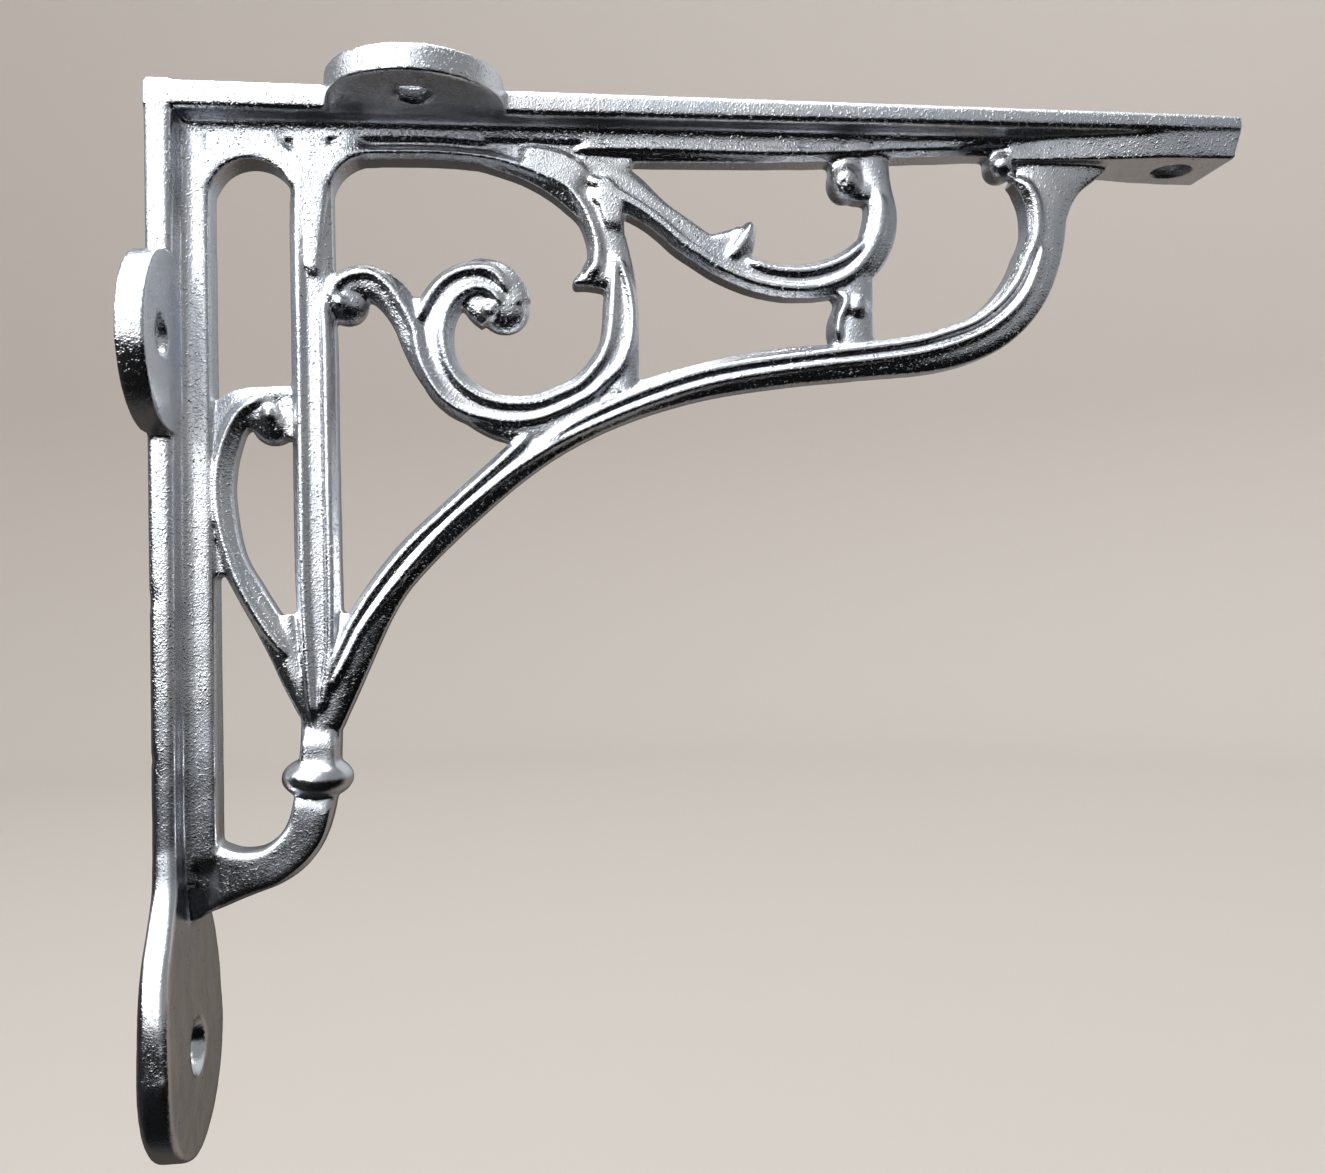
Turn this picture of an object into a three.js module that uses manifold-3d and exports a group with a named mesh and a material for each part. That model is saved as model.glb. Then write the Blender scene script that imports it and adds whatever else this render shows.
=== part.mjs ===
// A cast iron shelf bracket: one casting with a shelf plate on top, a wall plate behind and an openwork web
// of scrolls between them. Millimetres, +Z up, the wall at x = 0, the shelf arm along +X, the front at -Y.
import * as THREE from 'three';
import { mergeVertices } from 'three/addons/utils/BufferGeometryUtils.js';
import Module from 'manifold-3d';

const wasm = await Module();
wasm.setup();

// Driving sizes
const ARM = 152;             // shelf plate, from the wall face to its tip
const LEG = 140.6;           // wall plate, from the shelf face to the end of its lug
const PLATE_WIDTH = 12.8;    // both plates, front to back
const SHELF_ROOT = 3.9;      // thickness of the shelf plate at the corner
const SHELF_TIP = 2.6;       // and at its tip
const WALL_ROOT = 3.6;       // thickness of the wall plate at the corner
const WALL_END = 3.0;        // and where the lug begins
const WEB_THICK = 5.6;       // the scrollwork over its ridges
const FLUTE_DEPTH = 0.5;     // groove between the two ridges of every member
const BEVEL_DROP = 0.9;      // how far a member's outer bevel falls from its ridge
const PLATE_BEVEL = 0.4;     // broken inner edges of the plates
const ROOT_FILLET = 1.2;     // fillet between a plate and the web
const RAIL_DEPTH = 4.2;      // web rail below the shelf plate, at the corner
const RAIL_HOOK_DEPTH = 3.9; // at the hook
const RAIL_TIP_DEPTH = 2.7;  // and from there to the pad
const STILE_DEPTH = 3.6;     // web stile in front of the wall plate
const EAR_SETBACK = 34.6;    // screw ear's middle, from the corner along either plate
const EAR_RADIUS = 11.6;
const EAR_THICK = 3.5;
const EAR_REACH = 12.3;      // how far an ear stands out in front of its plate
const EAR_HOLE_REACH = 4.9;  // its screw hole's middle, out from the plate's edge
const EAR_BORE = 4.0;
const EAR_SINK = 5.6;        // mouth of the countersink
const LUG_RADIUS = 14.1;
const LUG_THICK = 4.0;
const LUG_FLARE = 27;        // length over which the wall plate widens into the lug
const LUG_BORE = 4.6;
const LUG_SINK = 7.6;
const PAD_LENGTH = 34;       // pad under the shelf plate's tip
const PAD_WIDTH = 11.6;      // its flat underside, front to back
const PAD_DEPTH = 3.7;       // below the tip of the shelf plate
const PAD_SLANT = 1;         // how far the pad's end leans back under the tip
const PAD_EDGE = 0.3;        // the pad reaches this far up into the shelf plate
const TIP_HOLE_SETBACK = 7.6;
const TIP_BORE = 4.2;
const TIP_SINK = 5.8;
const SINK_DEPTH = 1.2;      // depth of every countersink
const CUT_OVERRUN = 1;       // every cut starts and ends this far outside the metal

// Fineness of the solids
const TURN_STEP = THREE.MathUtils.degToRad(18);
const LENGTH_STEP = 10;
const ROUND_SIDES = 26;
const BALL_SIDES = 11;
const RIM_STEPS = 9;

// The scrollwork is drawn from the outer corner on a sheet of this size and follows the plates' lengths.
const SHEET_ARM = 152;
const SHEET_LEG = 140.6;
const drawn = (x, z, half) => new THREE.Vector3(x * ARM / SHEET_ARM, z * LEG / SHEET_LEG, half);

// Centre lines of the free members: across, down and half the width at each point of the sheet.
const COLUMN_X = 20.4;
const MEMBERS = {
  column: [[COLUMN_X, -7.5, 2.8], [COLUMN_X, -14.5, 2.6], [COLUMN_X, -30, 2.7], [COLUMN_X, -55, 2.9],
    [COLUMN_X + 0.2, -78, 2.8], [COLUMN_X + 0.1, -84, 2.6], [COLUMN_X - 0.1, -89, 2.6],
    [COLUMN_X - 0.6, -94.3, 2.6]],
  foot: [[19.8, -93.4, 2.7], [19.2, -96.3, 2.7], [18.2, -99, 2.7], [16.5, -101.3, 2.7], [14.1, -102.9, 2.7],
    [11.4, -103.7, 2.9], [9, -104.1, 3.4], [7.2, -104.2, 4.2], [5.8, -104, 5.4], [2.4, -103.7, 6.6]],
  leaf: [[19.3, -82.6, 1.8], [17.7, -78.6, 2.1], [15.9, -74.5, 2.1], [13.8, -70.7, 1.9],
    [11.6, -66.7, 1.8], [9.4, -62.5, 1.7], [8, -57, 1.9], [7.3, -52, 2.3], [7.7, -47, 2.7],
    [9, -43.5, 2.8], [11.5, -41.9, 2.7], [14.5, -43.2, 2.8]],
  twist: [[24.2, -26.2, 2.1], [25.2, -25.1, 2], [27, -24.9, 2.1], [29.3, -25.5, 2.3], [31.1, -27.2, 2.3],
    [32.8, -30, 2.2], [34, -33.6, 2], [35.7, -36.9, 2], [38, -39.7, 2], [41.2, -42.1, 2],
    [44.9, -44.2, 2], [49.2, -44.9, 2], [54, -43.6, 1.9], [58.5, -41.2, 1.7]],
  volute: [[47.3, -27.8, 2.3], [46.6, -26, 2.4], [44.8, -24, 2.3], [42.5, -23.5, 2.2], [39.7, -24.7, 2.2],
    [37.8, -27.1, 2.2], [36.7, -30.5, 2.2], [36.8, -34.3, 2.2], [37.9, -37.4, 2.2], [40, -39.8, 2.2],
    [43.2, -41.6, 2.1], [47.2, -42.5, 2.1], [51.5, -42.1, 2.1], [55.4, -40.5, 2.2], [58.8, -37.7, 2.2],
    [60.9, -34.1, 2.2], [62, -29.9, 2.2], [62, -25.8, 2.2], [61.3, -21.6, 2.2], [60.1, -17.8, 2.4],
    [58.4, -14.6, 2.5], [56.1, -12.2, 2.6], [53.2, -10, 2.6], [49.9, -8.3, 2.5], [46.2, -7.2, 2.3],
    [41.5, -6.2, 2], [37, -5.4, 1.9]],
  gusset: [[62.1, -29.5, 2.1], [62.2, -34.5, 2.1], [61.8, -39.8, 2.2]],
  brace: [[56.4, -7.9, 1.9], [60.2, -9.6, 2.6], [63.9, -11.8, 2.3], [67.3, -14.3, 1.7],
    [70.6, -16.8, 1.8], [74, -19.5, 2.1], [77.4, -21.7, 2.3], [81, -23.1, 2.2], [85.2, -24.1, 2],
    [89.5, -24.1, 2.2], [93.7, -23.1, 2.3], [97.4, -20.7, 2.2], [99.4, -17.3, 2], [99.9, -13.8, 1.9],
    [99.2, -10.6, 1.9], [97.7, -5.4, 2.9]],
  sweep: [[125.8, -5, 8], [124.8, -9.2, 4.9], [124.3, -13.3, 3.3], [124.1, -16.9, 2.9],
    [123.2, -20.8, 2.8], [121.6, -24.7, 2.7], [118.9, -28.2, 2.7], [115.3, -31, 2.7], [111.3, -32.7, 2.7],
    [106.5, -33.9, 2.7], [96.2, -35, 2.6], [84.2, -36.1, 2.7], [72.5, -38.2, 2.5], [61.1, -41.8, 2.4],
    [51, -47, 2.3], [40.3, -55.7, 2.1], [30.8, -65.1, 2.2], [27.7, -69.7, 2.4], [25.2, -74.6, 2.6],
    [22.8, -79.9, 2.6], [21.3, -84.4, 2.1]],
  post: [[95.3, -22.5, 2.7], [95.3, -26.7, 2.7], [95.2, -30.3, 2.7], [95, -34.5, 3.3]],
  drop: [[94.6, -5.5, 2.3], [94.5, -9.3, 2.4]],
  bead: [[117.6, -4.5, 2.1], [117.6, -6.2, 2.1]],
  thorn: [[61, -23.2, 2.6], [58.7, -23.5, 2], [57, -24, 1.3], [55.3, -24.8, 0.5]],
  leaflet: [[77.2, -21.4, 2.6], [79.5, -18.3, 1.6], [80.5, -15.8, 0.5]],
};
// Metal that fills the narrow corners where members run together.
const CORNERS = {
  leafToStile: [[7.5, -58.5, 1.3], [8.1, -64.4, 1.1]],
  leafToColumn: [[16.3, -69.6, 1.2], [17.2, -76, 1.3]],
  archToColumn: [[11.5, -40.3, 1.2], [17.6, -40.1, 1.2]],
  sweepToColumn: [[24, -69.6, 1.2], [23.6, -75, 1.2]],
  knobToColumn: [[16.8, -41, 1.5], [17, -46.2, 1.1]],
  knobToVolute: [[41.9, -25.7, 2.5], [42.4, -28, 2], [43.8, -29.8, 1.5]],
  voluteToBrace: [[61.3, -14, 1.1], [61.7, -17.3, 0.9]],
  voluteToSweep: [[59.4, -38.6, 1.3], [61, -41, 1.3]],
  twistToColumn: [[22.6, -24.6, 1], [23.6, -26.6, 1]],
  twistToVolute: [[34.1, -26.9, 0.9], [34.6, -30.5, 1.6]],
  braceToRail: [[52.5, -7.4, 1.8], [59.5, -8.2, 1.8], [63.6, -7.9, 0.9]],
  braceToLeaflet: [[74.8, -18.6, 1.2], [77.4, -18.2, 1.5], [79.3, -16.9, 1]],
  knobToHook: [[95.4, -10.4, 1.8], [97.8, -10.6, 1.9]],
};
// Balls that end the scrolls: middle across and down, half the width, and bulge from the web's middle plane.
const BALLS = [
  [14.9, -43.9, 3.1, 3.2], [24.7, -27.8, 2.9, 3.1], [45.8, -28.2, 3.5, 3.3],
  [94.4, -9.8, 2.6, 3.1], [117.6, -6.6, 2.1, 2.9], [95.6, -27.4, 2.4, 3],
];
const COLLAR = { x: 19.85, z: -91.6, across: 9.5, deep: 8.4, tall: 5.9 };
// Shoulders of the lug: share of the flare's length, share of its widening.
const SHOULDER = [[0, 0], [0.21, 0.1], [0.36, 0.4], [0.45, 0.61], [0.56, 0.79], [0.72, 0.92], [1, 1]];
// Spread of the tip pad: setback as a share of its length, half its underside and half its top in shares of
// the pad's and the shelf plate's width.
const PAD_SPREAD = [[1, 0.24, 0.2], [0.55, 0.36, 0.38], [0.32, 0.46, 0.47], [0, 0.49, 0.48]];

// Parts of the web that follow the plates: the rail, the stile and the round heads of the openings.
const HALF_BAND = 1.9;
const railLine = ([share, depth]) => {
  const under = THREE.MathUtils.lerp(SHELF_ROOT, SHELF_TIP, share) + depth;
  return [share * SHEET_ARM, HALF_BAND - under, HALF_BAND];
};
const stileX = WALL_ROOT + STILE_DEPTH;
const SLOT_TOP = 9;          // head of the slot beside the column, below the shelf face
const HEAD_BAND = 1.7;
const slotHalf = (COLUMN_X - 2.6 - stileX) / 2;
const arc = (x, z, radius, from, to) => Array.from({ length: 9 }, (_, i) => {
  const angle = THREE.MathUtils.degToRad(THREE.MathUtils.lerp(from, to, i / 8));
  return [x + radius * Math.cos(angle), z + radius * Math.sin(angle), HEAD_BAND];
});
const CORNER_RADIUS = 5.4;
const BANDS = {
  rail: [[0.02, RAIL_DEPTH], [0.2, RAIL_DEPTH], [0.58, RAIL_HOOK_DEPTH], [0.66, RAIL_TIP_DEPTH],
    [0.86, RAIL_TIP_DEPTH]].map(railLine),
  stile: [-3, -40, -75, -104].map((z) => [stileX - HALF_BAND, z, HALF_BAND]),
  slotHead: arc(stileX + slotHalf, -SLOT_TOP - slotHalf, slotHalf + HEAD_BAND, 5, 175),
  windowCorner: arc(COLUMN_X + 2.5 + CORNER_RADIUS, -SHELF_ROOT - RAIL_DEPTH - CORNER_RADIUS,
    CORNER_RADIUS + HEAD_BAND, 85, 178),
};

// A closed solid through a row of rings with equally many corners; each ring runs round the travel by the
// right hand.
function loft(rings) {
  const corners = rings[0].length;
  const index = [];
  for (let r = 0; r + 1 < rings.length; r += 1) {
    for (let c = 0; c < corners; c += 1) {
      const a = r * corners + c;
      const b = r * corners + (c + 1) % corners;
      index.push(a, b, b + corners, a, b + corners, a + corners);
    }
  }
  for (const [a, b, c] of capFaces(rings[0])) index.push(a, c, b);
  const last = (rings.length - 1) * corners;
  for (const [a, b, c] of capFaces(rings.at(-1))) index.push(a + last, b + last, c + last);
  const geometry = new THREE.BufferGeometry();
  const positions = rings.flat().flatMap((p) => [p.x, p.y, p.z]);
  geometry.setAttribute('position', new THREE.Float32BufferAttribute(positions, 3));
  geometry.setIndex(index);
  return geometry;
}

// Triangles of one end ring, which may be hollow on a side, turned the way the ring runs.
function capFaces(ring) {
  const arms = ring.map((p) => p.clone().sub(ring[0]));
  const normal = new THREE.Vector3();
  arms.forEach((arm, i) => normal.add(arm.clone().cross(arms[(i + 1) % arms.length])));
  const across = arms[1].clone().normalize();
  const up = normal.normalize().clone().cross(across);
  const flat = arms.map((arm) => new THREE.Vector2(arm.dot(across), arm.dot(up)));
  return THREE.ShapeUtils.triangulateShape(flat, []).map(([a, b, c]) => {
    const turn = flat[b].clone().sub(flat[a]).cross(flat[c].clone().sub(flat[a]));
    return turn > 0 ? [a, b, c] : [a, c, b];
  });
}

function solid(geometry) {
  const bare = geometry.clone();
  bare.deleteAttribute('normal');
  bare.deleteAttribute('uv');
  const closed = mergeVertices(bare, 1e-5);
  return new wasm.Manifold(new wasm.Mesh({
    numProp: 3,
    vertProperties: Float32Array.from(closed.attributes.position.array),
    triVerts: Uint32Array.from(closed.index.array),
  }));
}

// Stations along a centre line, closer together where it turns.
function stations(points) {
  const onSheet = points.map(([x, z, half]) => drawn(x, z, half));
  const dense = new THREE.CatmullRomCurve3(onSheet, false, 'centripetal').getPoints(points.length * 16);
  const heading = (i) => {
    const from = dense[Math.max(i - 1, 0)];
    const to = dense[Math.min(i + 1, dense.length - 1)];
    return new THREE.Vector2(to.x - from.x, to.y - from.y).normalize();
  };
  const kept = [];
  let turned = 0;
  let run = 0;
  dense.forEach((point, i) => {
    const way = heading(i);
    if (i > 0) {
      turned += Math.abs(Math.asin(THREE.MathUtils.clamp(heading(i - 1).cross(way), -1, 1)));
      run += Math.hypot(point.x - dense[i - 1].x, point.y - dense[i - 1].y);
    }
    if (i === 0 || i === dense.length - 1 || turned > TURN_STEP || run > LENGTH_STEP) {
      kept.push({ x: point.x, z: point.y, half: point.z, way });
      turned = 0;
      run = 0;
    }
  });
  return kept;
}

// One member of the web: two ridges with a flute between them and a bevel on either side, front and back.
function member(points) {
  const ridge = WEB_THICK / 2;
  const flute = ridge - FLUTE_DEPTH;
  const side = ridge - BEVEL_DROP;
  const section = [[1, -side], [1, side], [0.6, ridge], [0, flute], [-0.6, ridge],
    [-1, side], [-1, -side], [-0.6, -ridge], [0, -flute], [0.6, -ridge]];
  return solid(loft(stations(points).map(({ x, z, half, way }) => section.map(([across, y]) => (
    new THREE.Vector3(x + way.y * across * half, y, z - way.x * across * half))))));
}

function ball(x, z, half, bulge) {
  const at = drawn(x, z, half);
  const round = new THREE.SphereGeometry(1, BALL_SIDES, BALL_SIDES / 2 + 2);
  return solid(round.scale(half, bulge, half).translate(at.x, 0, at.y));
}

function collar() {
  const at = drawn(COLLAR.x, COLLAR.z, 0);
  const round = new THREE.SphereGeometry(1, 20, 12);
  return solid(round.scale(COLLAR.across / 2, COLLAR.deep / 2, COLLAR.tall / 2).translate(at.x, 0, at.y));
}

const shelfThick = (x) => THREE.MathUtils.lerp(SHELF_ROOT, SHELF_TIP, x / ARM);

function shelfPlate() {
  const half = PLATE_WIDTH / 2;
  return solid(loft([0, ARM].map((x) => {
    const under = -shelfThick(x);
    return [[half, under + PLATE_BEVEL], [half, 0], [-half, 0], [-half, under + PLATE_BEVEL],
      [PLATE_BEVEL - half, under], [half - PLATE_BEVEL, under]].map(([y, z]) => new THREE.Vector3(x, y, z));
  })));
}

// The wall plate runs straight down, widens over its shoulders and ends in the round lug.
function wallPlate() {
  const lugZ = LEG - LUG_RADIUS;
  const plateEnd = lugZ - LUG_FLARE;
  const straightHalf = PLATE_WIDTH / 2;
  const shoulder = SHOULDER.map(([along, out]) => (
    [plateEnd + along * LUG_FLARE, THREE.MathUtils.lerp(straightHalf, LUG_RADIUS, out)]));
  const rim = Array.from({ length: RIM_STEPS }, (_, i) => {
    const angle = THREE.MathUtils.degToRad(84) * (i + 1) / RIM_STEPS;
    return [lugZ + LUG_RADIUS * Math.sin(angle), LUG_RADIUS * Math.cos(angle)];
  });
  return solid(loft([[0, straightHalf], ...shoulder, ...rim].map(([down, half]) => {
    const intoLug = Math.min(1, (down - plateEnd) / LUG_FLARE);
    const thick = intoLug < 0
      ? THREE.MathUtils.lerp(WALL_ROOT, WALL_END, down / plateEnd)
      : THREE.MathUtils.lerp(WALL_END, LUG_THICK, intoLug);
    return [[half, 0], [half, thick - PLATE_BEVEL], [half - PLATE_BEVEL, thick],
      [PLATE_BEVEL - half, thick], [-half, thick - PLATE_BEVEL], [-half, 0]]
      .map(([y, x]) => new THREE.Vector3(x, y, -down));
  })));
}

// The fillets that carry each plate into the web, along the length that the web runs beside it.
function rootFillets() {
  const web = WEB_THICK / 2;
  const wide = web + ROOT_FILLET;
  const sunk = 1;
  const section = [[wide, 0], [wide, sunk], [-wide, sunk], [-wide, 0], [-web, -ROOT_FILLET],
    [web, -ROOT_FILLET]];
  const onShelf = loft([SHELF_TIP, ARM - 2 * PAD_SLANT].map((x) => (
    section.map(([y, z]) => new THREE.Vector3(x, y, z - shelfThick(x))))));
  const wallThick = (down) => THREE.MathUtils.lerp(WALL_ROOT, WALL_END, down / (LEG - LUG_RADIUS - LUG_FLARE));
  const onWall = loft([LEG - LUG_RADIUS - 0.8 * LUG_FLARE, WALL_END].map((down) => (
    section.map(([y, x]) => new THREE.Vector3(wallThick(down) - x, y, -down)))));
  return solid(onShelf).add(solid(onWall));
}

// Under the tip the rail spreads into a flat pad for the outer shelf screw.
function tipPad() {
  const under = -SHELF_TIP - PAD_DEPTH;
  return solid(loft(PAD_SPREAD.map(([back, low, high]) => {
    const x = ARM - back * PAD_LENGTH;
    const lowX = back === 0 ? x - PAD_SLANT : x;
    const lowHalf = low * PAD_WIDTH;
    const highHalf = high * PLATE_WIDTH;
    return [[lowHalf, lowX, under], [highHalf, x, PAD_EDGE - SHELF_TIP], [-highHalf, x, PAD_EDGE - SHELF_TIP],
      [-lowHalf, lowX, under]].map(([y, along, z]) => new THREE.Vector3(along, y, z));
  })));
}

// A screw ear: a round tab in the plane of its plate, drawn lying flat with its outer face at the top.
function ear() {
  const profile = [[0, -EAR_THICK], [EAR_RADIUS - PLATE_BEVEL, -EAR_THICK],
    [EAR_RADIUS, PLATE_BEVEL - EAR_THICK], [EAR_RADIUS, -PLATE_BEVEL], [EAR_RADIUS - PLATE_BEVEL, 0], [0, 0]];
  return new THREE.LatheGeometry(profile.map(([r, y]) => new THREE.Vector2(r, y)), ROUND_SIDES);
}

// A screw hole with its countersink, drawn along Y with the mouth at y = 0, opening upwards.
function screwHole(bore, sink, thick) {
  const profile = [[0, -thick - CUT_OVERRUN], [bore / 2, -thick - CUT_OVERRUN], [bore / 2, -SINK_DEPTH],
    [sink / 2, 0], [sink / 2, CUT_OVERRUN], [0, CUT_OVERRUN]];
  return new THREE.LatheGeometry(profile.map(([r, y]) => new THREE.Vector2(r, y)), ROUND_SIDES);
}

const quarter = Math.PI / 2;
const earY = EAR_RADIUS - EAR_REACH - PLATE_WIDTH / 2;
const earHoleY = -PLATE_WIDTH / 2 - EAR_HOLE_REACH;
const solids = [
  shelfPlate(), wallPlate(), rootFillets(), tipPad(), collar(),
  solid(ear().rotateX(quarter).translate(EAR_SETBACK, earY, 0)),
  solid(ear().rotateZ(quarter).translate(0, earY, -EAR_SETBACK)),
  ...Object.values({ ...BANDS, ...MEMBERS, ...CORNERS }).map(member),
  ...BALLS.map((size) => ball(...size)),
];
const holes = [
  screwHole(EAR_BORE, EAR_SINK, EAR_THICK).rotateX(-quarter).translate(EAR_SETBACK, earHoleY, -EAR_THICK),
  screwHole(EAR_BORE, EAR_SINK, EAR_THICK).rotateZ(-quarter).translate(EAR_THICK, earHoleY, -EAR_SETBACK),
  screwHole(LUG_BORE, LUG_SINK, LUG_THICK).rotateZ(-quarter).translate(LUG_THICK, 0, LUG_RADIUS - LEG),
  screwHole(TIP_BORE, TIP_SINK, SHELF_TIP + PAD_DEPTH).rotateX(-quarter)
    .translate(ARM - TIP_HOLE_SETBACK, 0, -SHELF_TIP - PAD_DEPTH),
];
const casting = holes.map(solid).reduce((body, hole) => body.subtract(hole),
  solids.reduce((body, more) => body.add(more)));

function geometryOf(body) {
  const { vertProperties, triVerts } = body.getMesh();
  const geometry = new THREE.BufferGeometry();
  geometry.setAttribute('position', new THREE.BufferAttribute(vertProperties, 3));
  geometry.setIndex(new THREE.BufferAttribute(triVerts, 1));
  geometry.computeVertexNormals();
  return geometry;
}

const plated = new THREE.MeshStandardMaterial({ color: 0xb9bdc2, roughness: 0.28, metalness: 1 });
const bracket = new THREE.Mesh(geometryOf(casting), plated);
bracket.name = 'bracket';
// The origin lies on the wall face, level with the upper wall screw.
bracket.position.z = EAR_SETBACK;

const part = new THREE.Group();
part.add(bracket);

export default part;
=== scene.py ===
# %% [markdown]
# # A plated cast iron shelf bracket
# The bracket is one casting. Its solid comes from model.glb, so this script makes the same casting again
# with finer curves, rounded cast edges, grain, pits and a bright plated surface, and then lights and frames
# it.

# %% Open the frame
import math

import bmesh
import bpy
import numpy as np
from mathutils import Matrix, Vector


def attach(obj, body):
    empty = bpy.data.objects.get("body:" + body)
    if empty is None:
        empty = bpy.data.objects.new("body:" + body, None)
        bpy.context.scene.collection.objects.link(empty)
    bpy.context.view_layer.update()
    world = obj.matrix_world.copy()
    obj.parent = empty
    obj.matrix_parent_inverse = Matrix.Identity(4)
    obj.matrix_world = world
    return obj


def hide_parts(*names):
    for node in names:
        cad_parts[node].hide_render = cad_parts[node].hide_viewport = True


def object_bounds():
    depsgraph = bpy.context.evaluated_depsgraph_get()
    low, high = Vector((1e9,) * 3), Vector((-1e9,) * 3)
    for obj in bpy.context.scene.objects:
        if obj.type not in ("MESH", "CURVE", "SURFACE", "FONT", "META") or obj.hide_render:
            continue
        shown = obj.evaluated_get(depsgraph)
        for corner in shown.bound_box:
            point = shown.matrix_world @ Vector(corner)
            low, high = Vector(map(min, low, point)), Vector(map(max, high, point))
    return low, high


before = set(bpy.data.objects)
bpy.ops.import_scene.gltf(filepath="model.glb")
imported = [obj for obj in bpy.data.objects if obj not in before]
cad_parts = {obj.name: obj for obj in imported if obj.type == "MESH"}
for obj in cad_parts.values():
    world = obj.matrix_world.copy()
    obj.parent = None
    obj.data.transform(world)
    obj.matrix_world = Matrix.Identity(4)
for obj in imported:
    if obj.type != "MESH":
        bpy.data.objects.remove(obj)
cad_low, cad_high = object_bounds()
print("casting", [round(1000 * (b - a), 1) for a, b in zip(cad_low, cad_high)], "mm")

# %% [markdown]
# ## Sizes
# The lengths are in millimetres. The drawing of the scrollwork starts at the outer corner of the plates, and
# the row's origin lies lower on the wall face, level with the upper wall screw.

# %% Name the sizes
MM = 0.001
ARM = 152.0
LEG = 140.6
PLATE_WIDTH = 12.8
SHELF_ROOT, SHELF_TIP = 3.9, 2.6
WALL_ROOT, WALL_END = 3.6, 3.0
WEB_THICK = 5.6
BODY_THICK, FLAT_THICK = 4.4, 5.4
ROOT_FILLET = 1.2
FILLET_OVERLAP = 0.05        # how far the fillets reach into the plates' faces
RAIL_DEPTH, RAIL_HOOK_DEPTH, RAIL_TIP_DEPTH = 4.2, 3.9, 2.7
STILE_DEPTH = 3.6
EAR_SETBACK = 34.6
EAR_RADIUS, EAR_THICK, EAR_REACH, EAR_HOLE_REACH = 11.6, 3.5, 12.3, 4.9
EAR_BORE, EAR_SINK = 4.0, 5.6
LUG_RADIUS, LUG_THICK, LUG_FLARE = 14.1, 4.0, 27.0
LUG_BORE, LUG_SINK = 4.6, 7.6
PAD_LENGTH, PAD_WIDTH, PAD_DEPTH, PAD_SLANT, PAD_EDGE = 34.0, 11.6, 3.7, 1.0, 0.3
TIP_HOLE_SETBACK, TIP_BORE, TIP_SINK = 7.6, 4.2, 5.8
SINK_DEPTH, CUT_OVERRUN = 1.2, 2.0
EDGE_BREAK = 0.6
SHOULDER = [(0, 0), (0.21, 0.1), (0.36, 0.4), (0.45, 0.61), (0.56, 0.79), (0.72, 0.92), (1, 1)]
print("plates", PLATE_WIDTH, "mm wide, web", WEB_THICK, "mm thick")

# %% [markdown]
# ## The drawing of the scrollwork
# Each member is a row of points: across, down and half the width. Fills close the narrow corners where
# members run together.

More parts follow.
